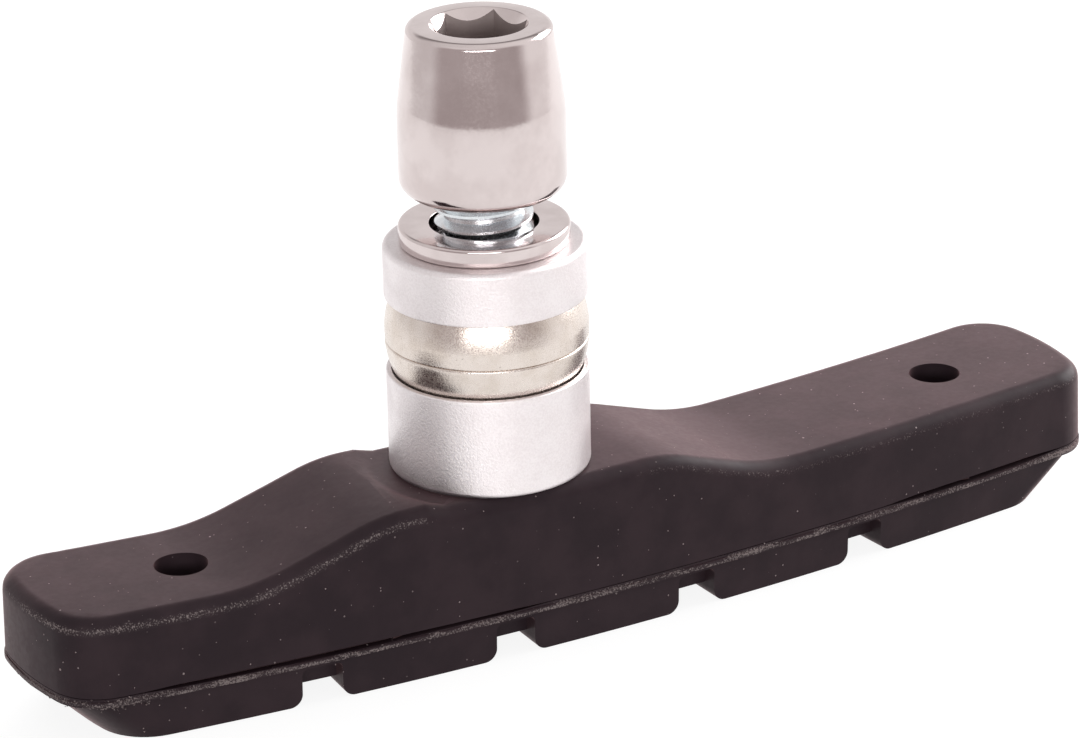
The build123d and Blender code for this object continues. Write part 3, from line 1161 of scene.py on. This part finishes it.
@dataclass
class Studio:
    """White floor and surround, soft lamps, and the camera at the photograph's angle.

    The rises and turns are shares of a direction, from -1 to 1, over which one part of the surround
    gives way to the next.
    """

    photo_width: int = 1080
    photo_height: int = 738
    focal_pixels: float = 4789.556
    centre_x: float = 488.373
    centre_y: float = 388.959
    yaw: float = -29.393
    pitch: float = 22.486
    roll: float = -1.501
    distance: float = 287.566
    target_height: float = 15.0
    sensor_width: float = 36.0
    nearest: float = 10.0
    floor_radius: float = 200.0
    floor_height: float = -0.02
    floor_colour: Colour = (0.20, 0.195, 0.195)
    floor_shadow: Colour = (0.22, 0.22, 0.22)
    floor_glow: float = 0.88
    room: Colour = (0.51, 0.46, 0.46)
    ceiling: Colour = (0.92, 0.90, 0.90)
    left_side: Colour = (0.80, 0.78, 0.78)
    right_side: Colour = (1.0, 0.98, 0.98)
    horizon: Colour = (1.0, 0.98, 0.98)
    backdrop: Colour = (0.90, 0.88, 0.88)
    above_backdrop: Colour = (0.26, 0.24, 0.24)
    ceiling_rise: Range = (0.40, 0.72)
    backdrop_rise: Range = (0.05, 0.36)
    above_backdrop_rise: Range = (0.41, 0.64)
    left_to_right_turn: Range = (-0.5, 0.5)
    front_to_side_turn: Range = (-0.56, -0.20)
    side_to_back_turn: Range = (0.30, 0.75)
    fill: float = 0.48
    lamps: tuple[Lamp, ...] = (
        Lamp("right_softbox", (410, 30, 190), (300, 260), 1.7),
        Lamp("front_strip", (-220, -392, 126), (360, 80), 0.80),
        Lamp("back_softbox", (180, 300, 140), (320, 160), 1.6, mirrored=False),
    )

    def build(self) -> None:
        """Put up the floor, the surround, the lamps and the camera."""
        self.lay_floor()
        self.paint_surround()
        for lamp in self.lamps:
            self.hang_lamp(lamp)
        self.stand_camera()

    def seen_directly(self, graph: NodeGraph) -> Socket:
        """Tell rays that show a surface from those that only light others by it.

        Args:
            graph: graph of the surface's material.

        Returns:
            Socket that is 1 for rays from the camera or by way of gloss or glass.
        """
        path = graph.add("LightPath").outputs
        mirrored = graph.sum("MAXIMUM", path["Is Glossy Ray"], path["Is Transmission Ray"])
        return graph.sum("MAXIMUM", path["Is Camera Ray"], mirrored)

    def lay_floor(self) -> None:
        """Round pale floor that shows white but for a faint shadow of the object."""
        mesh = bmesh.new()
        bmesh.ops.create_circle(mesh, cap_ends=True, segments=96, radius=self.floor_radius * MM,
                                matrix=Matrix.Translation((0, 0, self.floor_height * MM)))
        data = mesh_data(mesh, "studio_floor")
        material, graph = new_material("white_floor")
        pale = graph.add("BsdfDiffuse", {"Color": opaque(self.floor_colour)}).outputs[0]
        shadowed = graph.add("BsdfDiffuse", {"Color": opaque(self.floor_shadow)}).outputs[0]
        glow = graph.add("Emission", {"Color": opaque(WHITE), "Strength": self.floor_glow}).outputs[0]
        shown = graph.add("AddShader", {0: shadowed, 1: glow}).outputs[0]
        mixed = graph.add("MixShader", {0: self.seen_directly(graph), 1: pale, 2: shown})
        graph.add("OutputMaterial", {"Surface": mixed.outputs[0]})
        data.materials.append(material)
        floor = put_in_scene(bpy.data.objects.new("studio_floor", data))

    def paint_surround(self) -> None:
        """Pale backdrop with a dim room above it, white sides, and a dim room under a pale ceiling in front.

        The camera sees plain white.
        """
        world = bpy.data.worlds.new("studio_surround")
        world.use_nodes = True
        bpy.context.scene.world = world
        graph = NodeGraph(world.node_tree)
        direction = graph.add("TexCoord").outputs["Generated"]
        behind = self.camera_back() * -1
        behind.z = 0
        facing = graph.along(direction, behind)
        across = graph.along(direction, behind.cross(Vector((0, 0, 1))))
        rise = graph.add("SeparateXYZ", {0: direction}).outputs["Z"]
        front = graph.blend(graph.ramp(rise, *self.ceiling_rise), self.room, self.ceiling)
        sides = graph.blend(graph.ramp(across, *self.left_to_right_turn), self.left_side, self.right_side)
        back = graph.blend(graph.ramp(rise, *self.backdrop_rise), self.horizon, self.backdrop)
        back = graph.blend(graph.ramp(rise, *self.above_backdrop_rise), back, self.above_backdrop)
        colour = graph.blend(graph.ramp(facing, *self.front_to_side_turn), front, sides)
        colour = graph.blend(graph.ramp(facing, *self.side_to_back_turn), colour, back)
        path = graph.add("LightPath").outputs
        strength = graph.ramp(path["Is Glossy Ray"], 0.0, 1.0, self.fill, 1.0)
        light = graph.add("Background", {"Color": colour, "Strength": strength})
        white = graph.add("Background", {"Color": opaque(WHITE), "Strength": 1.0})
        mixed = graph.add("MixShader", {0: path["Is Camera Ray"], 1: light.outputs[0], 2: white.outputs[0]})
        graph.add("OutputWorld", {"Surface": mixed.outputs[0]})

    def hang_lamp(self, lamp: Lamp) -> None:
        """Hang one softbox and turn it to the object.

        Args:
            lamp: the softbox.
        """
        data = bpy.data.lights.new(lamp.name, "AREA")
        data.shape = "RECTANGLE"
        data.size, data.size_y = (side * MM for side in lamp.size)
        data.energy = lamp.power
        softbox = put_in_scene(bpy.data.objects.new(lamp.name, data))
        softbox.location = Vector(lamp.place) * MM
        softbox.visible_glossy = lamp.mirrored
        aim = Vector((0, 0, self.target_height * MM)) - softbox.location
        softbox.rotation_euler = aim.to_track_quat("-Z", "Y").to_euler()

    def camera_back(self) -> Vector:
        """Direction from the object to the camera."""
        yaw, pitch = math.radians(self.yaw), math.radians(self.pitch)
        return Vector((math.sin(yaw) * math.cos(pitch), -math.cos(yaw) * math.cos(pitch), math.sin(pitch)))

    def stand_camera(self) -> None:
        """Stand the camera where the photograph was taken, with the same framing."""
        back = self.camera_back()
        level = Vector((0, 0, 1)).cross(back).normalized()
        upright = back.cross(level)
        roll = math.radians(self.roll)
        right = level * math.cos(roll) + upright * math.sin(roll)
        up = upright * math.cos(roll) - level * math.sin(roll)
        data = bpy.data.cameras.new("photo_camera")
        data.sensor_fit = "HORIZONTAL"
        data.sensor_width = self.sensor_width
        data.lens = self.focal_pixels * self.sensor_width / self.photo_width
        data.shift_x = (self.photo_width / 2 - self.centre_x) / self.photo_width
        data.shift_y = (self.centre_y - self.photo_height / 2) / self.photo_width
        data.clip_start = self.nearest * MM
        camera = put_in_scene(bpy.data.objects.new("photo_camera", data))
        axes = Matrix((right, up, back)).transposed()
        place = Vector((0, 0, self.target_height * MM)) + back * self.distance * MM
        camera.matrix_world = Matrix.Translation(place) @ axes.to_4x4()
        bpy.context.scene.camera = camera


def dress_plate(frame: dict[str, Any]) -> None:
    """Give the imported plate, which the rubber hides but for two holes, its own finish.

    Args:
        frame: the loaded frame.
    """
    plate = frame["nodes"]["backing_plate"]
    plate.material_slots[0].material = RolledSteel().material()
    LOG.info("backing_plate: packed shape with its own finish")


def clear_start_scene() -> None:
    """Remove what Blender's start file holds."""
    for thing in list(bpy.data.objects):
        bpy.data.objects.remove(thing, do_unlink=True)


def main() -> None:
    """Load the frame, build and dress each piece, and set up the studio."""
    logging.basicConfig(level=logging.INFO, format="%(name)s: %(message)s")
    clear_start_scene()
    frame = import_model()
    bpy.context.scene.view_settings.view_transform = "Standard"
    RubberPad().build(frame)
    dress_plate(frame)
    ThreadedStud().build(Span.of("thick_cup_washer").bottom)
    BallSeat().build()
    FlatWasher().build()
    BarrelNut().build()
    Studio().build()


if __name__ == "__main__":
    main()
